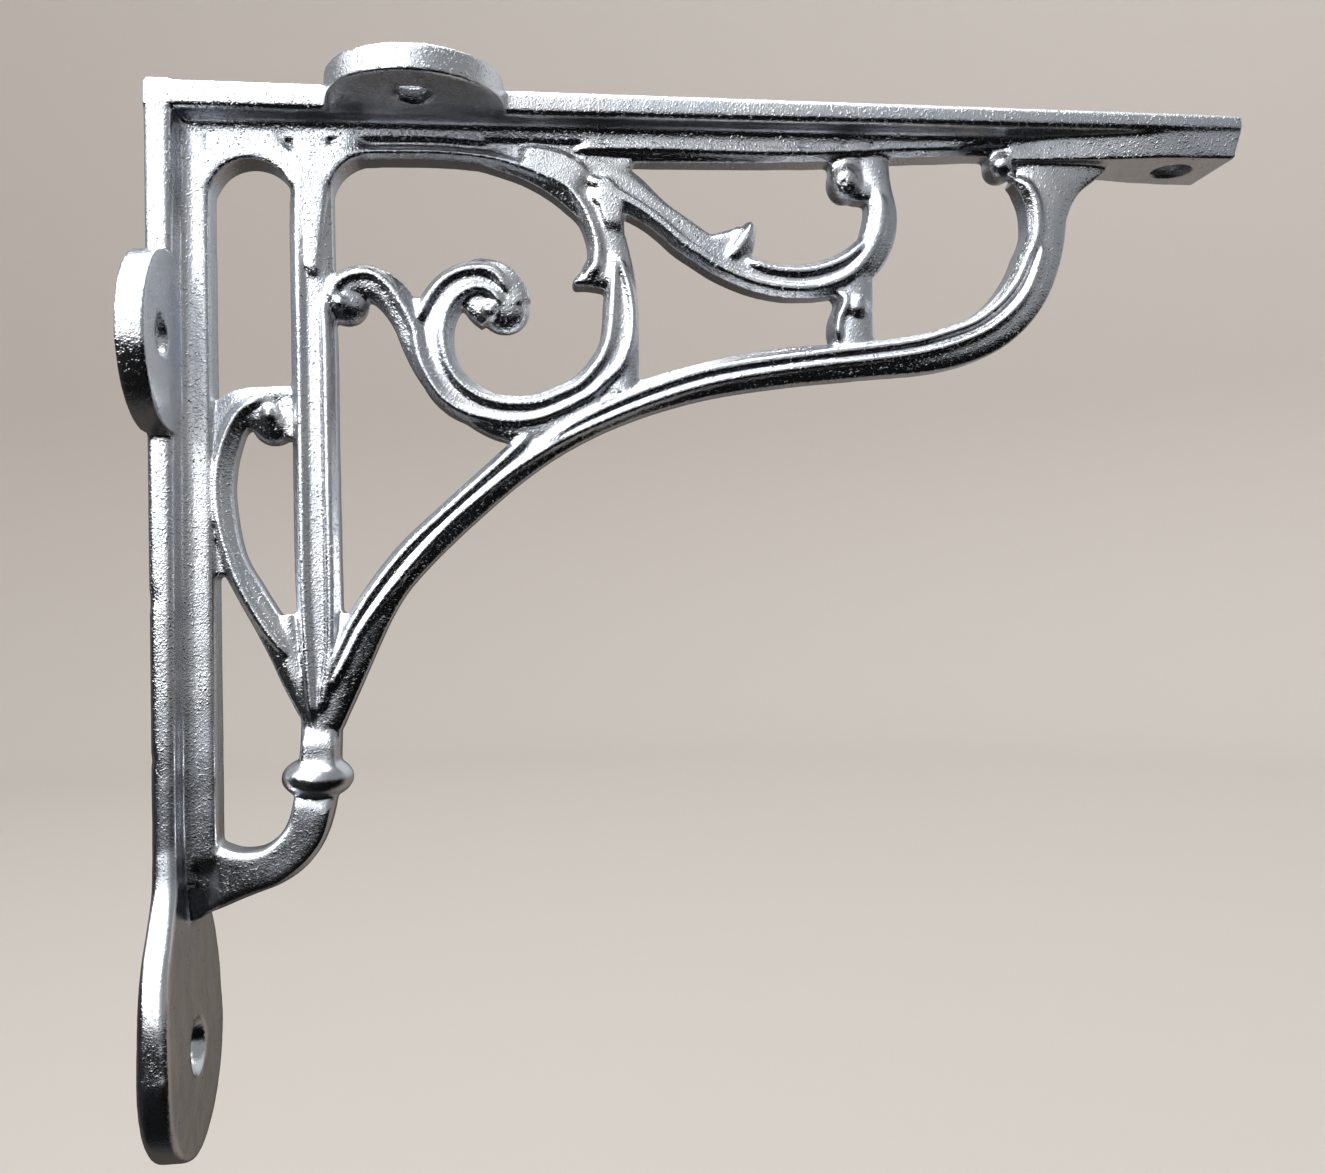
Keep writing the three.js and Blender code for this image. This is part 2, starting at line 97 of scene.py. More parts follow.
# %% Draw the members
COLUMN_X = 20.4
MEMBERS = {
    "column": [(COLUMN_X, -7.5, 2.8), (COLUMN_X, -14.5, 2.6), (COLUMN_X, -30, 2.7), (COLUMN_X, -55, 2.9),
        (20.6, -78, 2.8), (20.5, -84, 2.6), (20.3, -89, 2.6), (19.8, -94.3, 2.6)],
    "foot": [(19.8, -93.4, 2.7), (19.2, -96.3, 2.7), (18.2, -99, 2.7), (16.5, -101.3, 2.7),
        (14.1, -102.9, 2.7), (11.4, -103.7, 2.9), (9, -104.1, 3.4), (7.2, -104.2, 4.2), (5.8, -104, 5.4),
        (2.4, -103.7, 6.6)],
    "leaf": [(19.3, -82.6, 1.8), (17.7, -78.6, 2.1), (15.9, -74.5, 2.1), (13.8, -70.7, 1.9),
        (11.6, -66.7, 1.8), (9.4, -62.5, 1.7), (8, -57, 1.9), (7.3, -52, 2.3), (7.7, -47, 2.7),
        (9, -43.5, 2.8), (11.5, -41.9, 2.7), (14.5, -43.2, 2.8)],
    "twist": [(24.2, -26.2, 2.1), (25.2, -25.1, 2), (27, -24.9, 2.1), (29.3, -25.5, 2.3),
        (31.1, -27.2, 2.3), (32.8, -30, 2.2), (34, -33.6, 2), (35.7, -36.9, 2), (38, -39.7, 2),
        (41.2, -42.1, 2), (44.9, -44.2, 2), (49.2, -44.9, 2), (54, -43.6, 1.9), (58.5, -41.2, 1.7)],
    "volute": [(47.3, -27.8, 2.3), (46.6, -26, 2.4), (44.8, -24, 2.3), (42.5, -23.5, 2.2),
        (39.7, -24.7, 2.2), (37.8, -27.1, 2.2), (36.7, -30.5, 2.2), (36.8, -34.3, 2.2), (37.9, -37.4, 2.2),
        (40, -39.8, 2.2), (43.2, -41.6, 2.1), (47.2, -42.5, 2.1), (51.5, -42.1, 2.1), (55.4, -40.5, 2.2),
        (58.8, -37.7, 2.2), (60.9, -34.1, 2.2), (62, -29.9, 2.2), (62, -25.8, 2.2), (61.3, -21.6, 2.2),
        (60.1, -17.8, 2.4), (58.4, -14.6, 2.5), (56.1, -12.2, 2.6), (53.2, -10, 2.6), (49.9, -8.3, 2.5),
        (46.2, -7.2, 2.3), (41.5, -6.2, 2), (37, -5.4, 1.9)],
    "gusset": [(62.1, -29.5, 2.1), (62.2, -34.5, 2.1), (61.8, -39.8, 2.2)],
    "brace": [(56.4, -7.9, 1.9), (60.2, -9.6, 2.6), (63.9, -11.8, 2.3), (67.3, -14.3, 1.7),
        (70.6, -16.8, 1.8), (74, -19.5, 2.1), (77.4, -21.7, 2.3), (81, -23.1, 2.2), (85.2, -24.1, 2),
        (89.5, -24.1, 2.2), (93.7, -23.1, 2.3), (97.4, -20.7, 2.2), (99.4, -17.3, 2), (99.9, -13.8, 1.9),
        (99.2, -10.6, 1.9), (97.7, -5.4, 2.9)],
    "sweep": [(125.8, -5, 8), (124.8, -9.2, 4.9), (124.3, -13.3, 3.3), (124.1, -16.9, 2.9),
        (123.2, -20.8, 2.8), (121.6, -24.7, 2.7), (118.9, -28.2, 2.7), (115.3, -31, 2.7),
        (111.3, -32.7, 2.7), (106.5, -33.9, 2.7), (96.2, -35, 2.6), (84.2, -36.1, 2.7), (72.5, -38.2, 2.5),
        (61.1, -41.8, 2.4), (51, -47, 2.3), (40.3, -55.7, 2.1), (30.8, -65.1, 2.2), (27.7, -69.7, 2.4),
        (25.2, -74.6, 2.6), (22.8, -79.9, 2.6), (21.3, -84.4, 2.1)],
    "post": [(95.3, -22.5, 2.7), (95.3, -26.7, 2.7), (95.2, -30.3, 2.7), (95, -34.5, 3.3)],
    "drop": [(94.6, -5.5, 2.3), (94.5, -9.3, 2.4)],
    "bead": [(117.6, -4.5, 2.1), (117.6, -6.2, 2.1)],
    "thorn": [(61, -23.2, 2.6), (58.7, -23.5, 2), (57, -24, 1.3), (55.3, -24.8, 0.5)],
    "leaflet": [(77.2, -21.4, 2.6), (79.5, -18.3, 1.6), (80.5, -15.8, 0.5)],
}
FILLS = {
    "leaf_to_stile": [(7.5, -58.5, 1.3), (8.1, -64.4, 1.1)],
    "leaf_to_column": [(16.3, -69.6, 1.2), (17.2, -76, 1.3)],
    "arch_to_column": [(11.5, -40.3, 1.2), (17.6, -40.1, 1.2)],
    "sweep_to_column": [(24, -69.6, 1.2), (23.6, -75, 1.2)],
    "knob_to_column": [(16.8, -41, 1.5), (17, -46.2, 1.1)],
    "knob_to_volute": [(41.9, -25.7, 2.5), (42.4, -28, 2), (43.8, -29.8, 1.5)],
    "volute_to_brace": [(61.3, -14, 1.1), (61.7, -17.3, 0.9)],
    "volute_to_sweep": [(59.4, -38.6, 1.3), (61, -41, 1.3)],
    "twist_to_column": [(22.6, -24.6, 1), (23.6, -26.6, 1)],
    "twist_to_volute": [(34.1, -26.9, 0.9), (34.6, -30.5, 1.6)],
    "brace_to_rail": [(52.5, -7.4, 1.8), (59.5, -8.2, 1.8), (63.6, -7.9, 0.9)],
    "brace_to_leaflet": [(74.8, -18.6, 1.2), (77.4, -18.2, 1.5), (79.3, -16.9, 1)],
    "knob_to_hook": [(95.4, -10.4, 1.8), (97.8, -10.6, 1.9)],
}
print(len(MEMBERS), "members and", len(FILLS), "fills")

# %% [markdown]
# ## Knobs, collar and bands
# Round bodies end the scrolls: across, down, half the width, half the thickness and half the height. The
# bands follow the plates: the rail, the stile and the round heads of two openings.

# %% Draw the knobs and the bands
BALLS = [(14.9, -43.9, 3.1, 2.3, 3.1), (24.7, -27.8, 2.9, 2.3, 2.9), (45.8, -28.2, 3.5, 2.3, 3.5),
         (94.3, -9.4, 2.5, 3.1, 3.0), (117.5, -6.6, 2.2, 2.9, 2.3), (95.4, -27.5, 2.3, 3.0, 2.5),
         (14.5, -43.0, 1.6, 3.1, 2.1), (23.9, -27.9, 1.6, 3.1, 1.6), (43.8, -28.7, 1.7, 3.1, 1.7)]
COLLAR = {"x": 19.85, "z": -91.6, "across": 9.5, "deep": 8.4, "tall": 5.9}

HALF_BAND, HEAD_BAND, CORNER_RADIUS, SLOT_TOP = 1.9, 1.7, 5.4, 9.0
stile_x = WALL_ROOT + STILE_DEPTH
SLOT_WALL, COLUMN_HALF = 2.6, 2.5
slot_half = (COLUMN_X - SLOT_WALL - stile_x) / 2


def arc(x, z, radius, start, end):
    """A band round a middle, between two angles in degrees."""
    turn = np.radians(np.linspace(start, end, 17))
    return [(x + radius * math.cos(a), z + radius * math.sin(a), HEAD_BAND) for a in turn]


def rail_point(share, depth):
    """A point of the rail at a share of the arm, where it reaches so far below the shelf plate."""
    under = SHELF_ROOT + share * (SHELF_TIP - SHELF_ROOT) + depth
    return (share * ARM, HALF_BAND - under, HALF_BAND)


BANDS = {
    "rail": [rail_point(0.02, RAIL_DEPTH), rail_point(0.2, RAIL_DEPTH), rail_point(0.58, RAIL_HOOK_DEPTH),
             rail_point(0.66, RAIL_TIP_DEPTH), rail_point(0.86, RAIL_TIP_DEPTH)],
    "stile": [(stile_x - HALF_BAND, z, HALF_BAND) for z in (-3, -40, -75, -104)],
    "slot_head": arc(stile_x + slot_half, -SLOT_TOP - slot_half, slot_half + HEAD_BAND, 5, 175),
    "window_corner": arc(COLUMN_X + COLUMN_HALF + CORNER_RADIUS, -SHELF_ROOT - RAIL_DEPTH - CORNER_RADIUS,
                         CORNER_RADIUS + HEAD_BAND, 85, 178),
}
print(len(BALLS), "knobs and", len(BANDS), "bands")

# %% [markdown]
# ## The relief
# Ridges run on from member to member, fork and fade, as the raised lines of the casting do. Flats are the
# places where the metal is level between them.

# %% Draw the ridges and the flats
RIDGES = {
    "column_left": [(19.1, -7.5, 1), (18.7, -13.5, 1.25), (18.6, -27.5, 1.25), (18.6, -47.5, 1.25),
        (18.7, -67.5, 1.2), (19.1, -77.5, 1.1), (19.6, -84.5, 0.8)],
    "column_right": [(21.6, -26.5, 1), (21.9, -30.5, 1.2), (22, -47.5, 1.2), (22.1, -67.5, 1.2),
        (22, -73.5, 1.1), (21.6, -77.5, 1.1), (20.9, -81.5, 1), (20, -83.5, 0.7)],
    "leaf": [(16.8, -76, 0.8), (15.2, -73.5, 1.1), (13.4, -71, 1.2), (10.1, -64.8, 1.2), (8.1, -58.1, 1.2),
        (7.6, -52, 1.2), (8.2, -47.8, 1.2), (9.1, -45.2, 1.2), (10.3, -43, 1.25), (11.8, -41.7, 1.3),
        (13.5, -41.1, 1.4), (14.8, -41.7, 1.4)],
    "twist": [(23.2, -28.9, 0.9), (22.7, -27.8, 1.2), (22.8, -26.6, 1.3), (23.4, -25.4, 1.3),
        (24.7, -24.4, 1.3), (26.3, -23.9, 1.3), (28, -23.9, 1.3), (29.4, -24.7, 1.3), (30.7, -26, 1.3),
        (31.9, -27.8, 1.3), (33, -29.8, 1.3), (33.8, -31.9, 1.3), (34.1, -34.1, 1.3), (34.6, -36, 1.25),
        (35.4, -37.7, 1.2), (36.4, -39.5, 1.2), (37.8, -41, 1.2), (39.3, -42.1, 1.2), (41.2, -42.9, 1.2),
        (43.3, -43.4, 1.2), (45.6, -43.8, 1.2), (47.9, -43.8, 1.2), (50.3, -43.4, 1.1), (53.1, -42.3, 1.1),
        (55.4, -41.2, 1.1), (57.5, -40, 1.1), (59.4, -38.3, 1.1), (61.4, -36.4, 1.1), (62.5, -34.2, 1),
        (63.2, -31.7, 1), (63.3, -28.6, 1), (63, -25.9, 1), (62.2, -23, 1), (61.2, -20.2, 0.8)],
    "volute_outer": [(33.9, -31.1, 1.1), (35, -28.3, 1.2), (36, -26.6, 1.2), (37.3, -25, 1.2),
        (38.8, -23.9, 1.2), (40.6, -23.2, 1.25), (42.6, -23, 1.3), (44.2, -23.4, 1.3), (45.4, -24.5, 1.2),
        (46, -25.8, 1), (46.3, -27.2, 0.7)],
    "volute_inner": [(44.8, -29.2, 1), (45.1, -28.1, 1.1), (44.8, -26.9, 1.2), (43.9, -26, 1.2),
        (42.3, -25.5, 1.3), (40.7, -25.9, 1.4), (39.2, -27, 1.4), (38.1, -28.7, 1.4), (37.5, -31, 1.4),
        (37.5, -33.7, 1.4), (38.1, -36, 1.4), (39.1, -37.9, 1.3), (40.7, -39.5, 1.3), (42.8, -40.7, 1.3),
        (45.4, -41.4, 1.3), (47.9, -41.5, 1.3), (50.6, -41.1, 1.3), (53.1, -40.1, 1.3), (55.6, -38.9, 1.3),
        (57.5, -37.1, 1.3), (59.1, -34.9, 1.25), (60.1, -32.5, 1.2), (60.5, -29.8, 1.2), (60.7, -27, 1.2),
        (60.9, -24.5, 1.1), (61, -22, 1), (60.9, -19.8, 0.8)],
    "rail_upper": [(15, -6, 0.7), (19.5, -5.8, 0.9), (24.3, -5.5, 1), (32.2, -5.3, 1), (38.9, -5.3, 1),
        (45, -5.8, 0.9)],
    "rail_long": [(55, -6.5, 1.1), (58, -6.1, 1.3), (65, -5.9, 1.3), (81.6, -5.9, 1.3), (91.7, -5.6, 1.3),
        (102, -4.9, 1.2), (113, -4.4, 1.1)],
    "window_head": [(17, -8.6, 0.8), (19.1, -8.4, 0.9), (24.3, -7.7, 0.9), (32.2, -7.3, 0.9),
        (38.8, -7.3, 0.9), (44.2, -7.8, 0.9), (48.2, -8.8, 1), (51.6, -10.1, 1.1), (53.6, -10.9, 1.2),
        (55, -11.8, 1.2), (56, -13, 1.2), (57, -14.5, 1.2), (57.8, -16.3, 1.2), (58.4, -18.2, 1.2),
        (58.7, -20.1, 1.3), (58.5, -22, 1.5), (57.7, -23.3, 1.5), (56.4, -24.4, 0.8)],
    "brace": [(56.4, -9.7, 1.2), (59.1, -11.1, 1.5), (61.8, -12.6, 1.7), (64.6, -14.2, 1.5),
        (66.6, -15.5, 1.4), (68.7, -17.2, 1.4), (70.5, -18.8, 1.4), (72.8, -20.3, 1.4), (75.3, -21.9, 1.4),
        (78.1, -23.3, 1.3), (81, -24.3, 1.3), (84.1, -24.9, 1.3), (86.9, -25.1, 1.3), (89.8, -24.8, 1.3),
        (92.4, -24, 1.3), (94.5, -22.9, 1.4), (96.6, -20.8, 1.7), (97.9, -18.7, 1.9), (98.8, -16.5, 2),
        (99.2, -14.2, 1.9), (99, -12.2, 1.6), (98.3, -10.4, 1.1)],
    "brace_upper": [(78.7, -21.2, 0.9), (80.6, -21.7, 1.1), (82.7, -22.4, 1.2), (85.5, -22.7, 1.2),
        (88.4, -22.6, 1.2), (91.3, -21.9, 1.2), (93.9, -20.7, 1.2), (95.7, -19.3, 1.1), (97.2, -17.6, 0.9)],
    "leaflet": [(76.2, -21.8, 1.4), (78.6, -19.3, 1.6), (80.1, -16.8, 1.2), (80.5, -15.6, 0.6)],
    "post": [(92.6, -24.7, 0.9), (93.2, -25.7, 1), (93.8, -26.6, 1), (93.4, -27.8, 1), (92.7, -29.3, 0.9),
        (92.5, -31, 0.9), (92.7, -33.4, 0.7)],
    "tip_scroll": [(119.4, -8.5, 0.9), (120.6, -9.3, 1.2), (121.4, -10.3, 1.4), (122.2, -12, 1.5),
        (122.5, -14.2, 1.5), (122.4, -16.3, 1.4), (121.8, -18.2, 1.3), (120.9, -20, 1.3),
        (120.1, -21.9, 1.3), (119, -23.9, 1.3), (117.4, -25.9, 1.2), (115.4, -27.8, 1.1), (112.5, -29.7, 1),
        (109, -31, 1), (104.2, -32.4, 1.1), (96.8, -33.5, 1.2), (89.4, -34.4, 1.3), (74.4, -36.7, 1.3),
        (64.8, -39.7, 1.2), (55.6, -43.9, 1.1), (49.7, -47.7, 0.8)],
    "sweep_middle": [(122.8, -17.2, 0.8), (122.9, -19.2, 0.9), (122.4, -21, 0.9), (121.7, -22.9, 0.9),
        (120.8, -24.8, 0.9), (119.5, -26.6, 0.9), (117.5, -28.6, 0.9), (114.3, -30.8, 0.9),
        (110.3, -32.5, 0.9), (104.4, -34.1, 1), (96.8, -35.2, 1), (89.5, -36, 1.1), (74.8, -38.4, 1),
        (65.3, -41.3, 1), (54.4, -45.9, 1), (47.6, -49.9, 1), (43.6, -52.9, 1), (36.1, -59.5, 1),
        (26.6, -71, 1), (23.7, -76.3, 1), (21.2, -80.8, 0.9)],
    "sweep_low": [(49.3, -45.4, 0.9), (46.3, -48.2, 1.15), (38.8, -54.9, 1.15), (31.4, -61.9, 1.15),
        (25.3, -70.3, 1.1), (22.2, -76.7, 1.1), (20.3, -81.6, 1)],
}
FLATS = {
    "corner": [(5.2, -6, 2), (11, -6.4, 2.1), (15.5, -7, 1.7), (18.3, -7.2, 1)],
    "rail_top": [(5, -4.6, 1.4), (30, -4.3, 1.3), (60, -4.3, 1.3), (88, -4.1, 1.2), (100, -3.6, 1.1),
        (116, -3.4, 1.1)],
    "column_top": [(20.4, -4, 2.6), (20.4, -12, 2.3), (20.4, -18, 1.5), (20.4, -26, 0.5)],
    "scroll_joint": [(57.5, -10.5, 2), (60.2, -12.8, 2), (60.8, -15.5, 1.5), (61, -18.5, 1)],
    "window_joint": [(47, -7.1, 0.9), (50.5, -7.7, 1.7), (54.5, -9.2, 2.1), (58, -11.6, 1.5)],
    "column_foot": [(20.4, -84.5, 2), (20.2, -88, 2.4), (19.9, -93, 2.5)],
    "upper_foot": [(19.8, -93, 2.6), (18.3, -98.8, 2.6), (14.3, -102.7, 2.6), (10.2, -103.8, 3),
        (5.4, -104, 5)],
}
FLAT_BANDS = ("stile", "slot_head", "window_corner")
print(len(RIDGES), "ridges and", len(FLATS), "flats")

# %% [markdown]
# ## Smooth centre lines
# A centripetal curve runs through the points of each member and is cut into short even steps.

# %% Make the centre lines
LINE_STEP = 0.5
THIN_FROM, THIN_POWER = 0.9, 0.3
END_RUN, END_HEIGHT = 2.4, 0.72


def smooth_line(points):
    """Even points on a centripetal curve through rows of three numbers."""
    p = np.array(points, float)
    p = np.vstack([2 * p[0] - p[1], p, 2 * p[-1] - p[-2]])
    dense = []
    for i in range(1, len(p) - 2):
        a, b, c = [max(np.linalg.norm(p[i + k] - p[i + k - 1]), 1e-6) ** 0.5 for k in (0, 1, 2)]
        start = ((p[i] - p[i - 1]) / a - (p[i + 1] - p[i - 1]) / (a + b) + (p[i + 1] - p[i]) / b) * b
        end = ((p[i + 1] - p[i]) / b - (p[i + 2] - p[i]) / (b + c) + (p[i + 2] - p[i + 1]) / c) * b
        t = np.linspace(0, 1, 40, endpoint=False)[:, None]
        dense.append((2 * t**3 - 3 * t**2 + 1) * p[i] + (t**3 - 2 * t**2 + t) * start
                     + (3 * t**2 - 2 * t**3) * p[i + 1] + (t**3 - t**2) * end)
    dense = np.vstack(dense + [p[-2:-1]])
    run = np.concatenate([[0], np.cumsum(np.linalg.norm(np.diff(dense[:, :2], axis=0), axis=1))])
    even = np.linspace(0, run[-1], max(3, int(run[-1] / LINE_STEP)))
    return np.column_stack([np.interp(even, run, dense[:, k]) for k in range(3)])


def object_of(name, data):
    """A new object in the scene."""
    made = bpy.data.objects.new(name, data)
    bpy.context.scene.collection.objects.link(made)
    return made


def line_object(name, tables, thick, share=1.0, end_height=1.0):
    """Centre lines in the XY plane. Each point carries half its width and half its thickness. A line gets
    thinner where it is narrow, and it starts and ends at a share of its height."""
    corners, edges, half, height = [], [], [], []
    for table in tables:
        line = smooth_line(table)
        first = len(corners)
        corners += [(x * MM, z * MM, 0) for x, z, _ in line]
        edges += [(first + i, first + i + 1) for i in range(len(line) - 1)]
        half += [w * MM for _, _, w in line]
        from_end = np.minimum(np.arange(len(line)), np.arange(len(line))[::-1]) * LINE_STEP
        rise = np.clip(from_end / END_RUN, 0, 1)
        eased = end_height + (1 - end_height) * rise * rise * (3 - 2 * rise)
        narrow = np.minimum(1, line[:, 2] / THIN_FROM) ** THIN_POWER
        height += list(thick / 2 * share * eased * narrow * MM)
    mesh = bpy.data.meshes.new(name)
    mesh.from_pydata(corners, edges, [])
    for key, values in (("half_width", half), ("half_thick", height)):
        mesh.attributes.new(key, "FLOAT", "POINT").data.foreach_set("value", values)
    return object_of(name, mesh)


FILL_HEIGHT = 0.9
body_lines = line_object("body lines", {**BANDS, **MEMBERS}.values(), BODY_THICK)
fill_lines = line_object("fill lines", FILLS.values(), BODY_THICK, FILL_HEIGHT)
flat_lines = line_object("flat lines", [BANDS[name] for name in FLAT_BANDS] + [*FLATS.values()], FLAT_THICK,
                         end_height=END_HEIGHT)
ridge_lines = line_object("ridge lines", RIDGES.values(), WEB_THICK, end_height=END_HEIGHT)
print(len(ridge_lines.data.vertices), "points on the ridge lines")

# %% [markdown]
# ## Three sections
# A body has a rounded face that falls towards its edges. A ridge is a bell, and where two ridges run side by
# side a flute appears between them. A flat has a level face. Each section is one unit to either side and one
# unit up, and every line stretches it to its own width and thickness.

# %% Draw the sections
SECTION_STEPS = 12


def section_of(name, face):
    """A closed outline whose front and back are given by the height of the face over the distance from its
    middle."""
    across = [i / SECTION_STEPS for i in range(-SECTION_STEPS, SECTION_STEPS + 1)]
    outline = [(u, face(abs(u)), 0) for u in reversed(across)] + [(u, -face(abs(u)), 0) for u in across]
    mesh = bpy.data.meshes.new(name)
    mesh.from_pydata(outline, [(i, (i + 1) % len(outline)) for i in range(len(outline))], [])
    return object_of(name, mesh)


body_section = section_of("body section", lambda u: 1 - 0.34 * u**2.4)
ridge_section = section_of("ridge section", lambda u: 1 - 0.42 * (0.5 - 0.5 * math.cos(math.pi * u**1.3)))
flat_section = section_of("flat section", lambda u: 1 - 0.3 * u**14)
print("body, ridge and flat sections")

# %% [markdown]
# ## Helpers for node trees
# A node is made with its inputs set by name. Two more helpers read a number that the points carry and work
# out a sum or a product.

# %% Write the node helpers
def node(tree, kind, **inputs):
    """A node of a tree. An underscore in the name of an input stands for a space."""
    made = tree.nodes.new(kind)
    for name, value in inputs.items():
        made.inputs[name.replace("_", " ")].default_value = value
    return made


def named_float(tree, name):
    """The number that every point carries under a name."""
    made = tree.nodes.new("GeometryNodeInputNamedAttribute")
    made.data_type = "FLOAT"
    made.inputs["Name"].default_value = name
    return made.outputs["Attribute"]


def math_node(tree, operation, a, b):
    """One operation on two numbers of a tree."""
    made = tree.nodes.new("ShaderNodeMath")
    made.operation = operation
    tree.links.new(a, made.inputs[0])
    tree.links.new(b, made.inputs[1])
    return made.outputs[0]


print("node, named_float and math_node")

# %% [markdown]
# ## Sweep the section along every line
# The node tree turns the lines into curves, sweeps the section along them, sets each member to its own
# thickness and stands the flat drawing upright.

# %% Build the sweep
sweep = bpy.data.node_groups.new("sweep members", "GeometryNodeTree")
sweep.interface.new_socket("Centre lines", in_out="INPUT", socket_type="NodeSocketGeometry")
section_socket = sweep.interface.new_socket("Section", in_out="INPUT", socket_type="NodeSocketObject")
metal_socket = sweep.interface.new_socket("Metal", in_out="INPUT", socket_type="NodeSocketMaterial")
sweep.interface.new_socket("Members", in_out="OUTPUT", socket_type="NodeSocketGeometry")
given = sweep.nodes.new("NodeGroupInput")
result = sweep.nodes.new("NodeGroupOutput")
to_curve = sweep.nodes.new("GeometryNodeMeshToCurve")
upright = sweep.nodes.new("GeometryNodeSetCurveNormal")
upright.mode = "Z_UP"
pick = sweep.nodes.new("GeometryNodeObjectInfo")
ring = sweep.nodes.new("GeometryNodeMeshToCurve")
along = node(sweep, "GeometryNodeCurveToMesh", Fill_Caps=True)
place = sweep.nodes.new("GeometryNodeSetPosition")
position = sweep.nodes.new("GeometryNodeInputPosition")
apart = sweep.nodes.new("ShaderNodeSeparateXYZ")
together = sweep.nodes.new("ShaderNodeCombineXYZ")
stand = node(sweep, "GeometryNodeTransform", Rotation=(math.pi / 2, 0, 0))
realize = sweep.nodes.new("GeometryNodeRealizeInstances")
paint = sweep.nodes.new("GeometryNodeSetMaterial")
half_width = named_float(sweep, "half_width")
half_thick = named_float(sweep, "half_thick")
link = sweep.links.new
link(given.outputs["Centre lines"], to_curve.inputs["Mesh"])
link(to_curve.outputs["Curve"], upright.inputs["Curve"])
link(given.outputs["Section"], pick.inputs["Object"])
link(pick.outputs["Geometry"], ring.inputs["Mesh"])
link(upright.outputs["Curve"], along.inputs["Curve"])
link(ring.outputs["Curve"], along.inputs["Profile Curve"])
link(half_width, along.inputs["Scale"])
link(along.outputs["Mesh"], place.inputs["Geometry"])
link(position.outputs["Position"], apart.inputs["Vector"])
unit_height = math_node(sweep, "DIVIDE", apart.outputs["Z"], half_width)
link(apart.outputs["X"], together.inputs["X"])
link(apart.outputs["Y"], together.inputs["Y"])
link(math_node(sweep, "MULTIPLY", unit_height, half_thick), together.inputs["Z"])
link(together.outputs["Vector"], place.inputs["Position"])
link(place.outputs["Geometry"], stand.inputs["Geometry"])
link(stand.outputs["Geometry"], realize.inputs["Geometry"])
link(realize.outputs["Geometry"], paint.inputs["Geometry"])
link(given.outputs["Metal"], paint.inputs["Material"])
link(paint.outputs["Geometry"], result.inputs["Members"])
print(len(sweep.nodes), "nodes in the sweep")

# %% [markdown]
# ## Run the sweep
# Every set of lines goes through the tree with its section and comes back as a plain mesh.

# %% Sweep the members
metal = bpy.data.materials.new("plated_iron")


def plain_mesh(holder, name):
    """The mesh that an object's modifiers give, as a plain mesh."""
    made = bpy.data.meshes.new_from_object(holder.evaluated_get(bpy.context.evaluated_depsgraph_get()))
    made.name = name
    return made


def swept(lines, section):
    """The plain mesh of a section swept along every line of an object."""
    step = lines.modifiers.new("sweep members", "NODES")
    step.node_group = sweep
    step[section_socket.identifier] = section
    step[metal_socket.identifier] = metal
    made = plain_mesh(lines, lines.name)
    lines.modifiers.remove(step)
    return made


moulded = [swept(body_lines, body_section), swept(fill_lines, body_section),
           swept(flat_lines, flat_section), swept(ridge_lines, ridge_section)]
print(sum(len(part.polygons) for part in moulded), "faces in the members")

# %% [markdown]
# ## Rings of corners
# The plain pieces of the casting are drawn as rings of corners, one behind the other.

# %% Write the ways to draw them
DISC_SIDES = 96
verts, faces = [], []


def loft(rings):
    """A closed solid through rings of equally many corners, in millimetres from the outer corner."""
    first = len(verts)
    count = len(rings[0])
    for ring_points in rings:
        verts.extend(ring_points)
    for r in range(len(rings) - 1):
        for c in range(count):
            a = first + r * count + c
            b = first + r * count + (c + 1) % count
            faces.append((a, b, b + count, a + count))
    faces.append(tuple(reversed(range(first, first + count))))
    last = first + (len(rings) - 1) * count
    faces.append(tuple(range(last, last + count)))


def ball(x, y, z, rx, ry, rz, sides=32):
    """A closed round body with a ring at each pole."""
    rings = []
    for tilt in np.radians(np.linspace(-89, 89, sides // 2)):
        rings.append([(x + rx * math.cos(tilt) * math.cos(a), y + ry * math.cos(tilt) * math.sin(a),
                       z + rz * math.sin(tilt)) for a in np.linspace(0, 2 * math.pi, sides, endpoint=False)])
    loft(rings)


def disc(centre, across_axes, along_axis, radii):
    """A round body in steps: radii is a list of (distance along the axis, radius)."""
    u, v = (np.array(a, float) for a in across_axes)
    w = np.array(along_axis, float)
    turn = np.linspace(0, 2 * math.pi, DISC_SIDES, endpoint=False)
    loft([[tuple(np.array(centre) + w * t + r * (u * math.cos(a) + v * math.sin(a))) for a in turn]
          for t, r in radii])


print("loft, ball and disc")

# %% [markdown]
# ## The two plates
# The shelf plate tapers to its tip. The wall plate runs straight down, widens over its shoulders and ends in
# the round lug. All their edges are broken.

# %% Draw the plates
def shelf_thick(x):
    return SHELF_ROOT + (SHELF_TIP - SHELF_ROOT) * x / ARM


def broken_edges(half, thick):
    """A plate's section with its four edges broken: out to the side and through the thickness."""
    e = EDGE_BREAK
    return [(half, thick - e), (half, e), (half - e, 0), (e - half, 0), (-half, e), (-half, thick - e),
            (e - half, thick), (half - e, thick)]


PLATE_STEPS, RIM_STEPS = 20, 40
half_plate = PLATE_WIDTH / 2
loft([[(x, y, -t) for y, t in broken_edges(half_plate, shelf_thick(x))]
      for x in np.linspace(0, ARM, PLATE_STEPS)])

lug_z = LEG - LUG_RADIUS
plate_end = lug_z - LUG_FLARE
along_plate = [(down, half_plate) for down in np.linspace(0, plate_end, PLATE_STEPS, endpoint=False)]
widening = LUG_RADIUS - half_plate
shoulder = smooth_line([(plate_end + a * LUG_FLARE, half_plate + b * widening, 0) for a, b in SHOULDER])
rim = [(lug_z + LUG_RADIUS * math.sin(a), LUG_RADIUS * math.cos(a))
       for a in np.radians(np.linspace(2, 87, RIM_STEPS))]
wall_outline = along_plate + [tuple(p) for p in shoulder[:, :2]] + rim


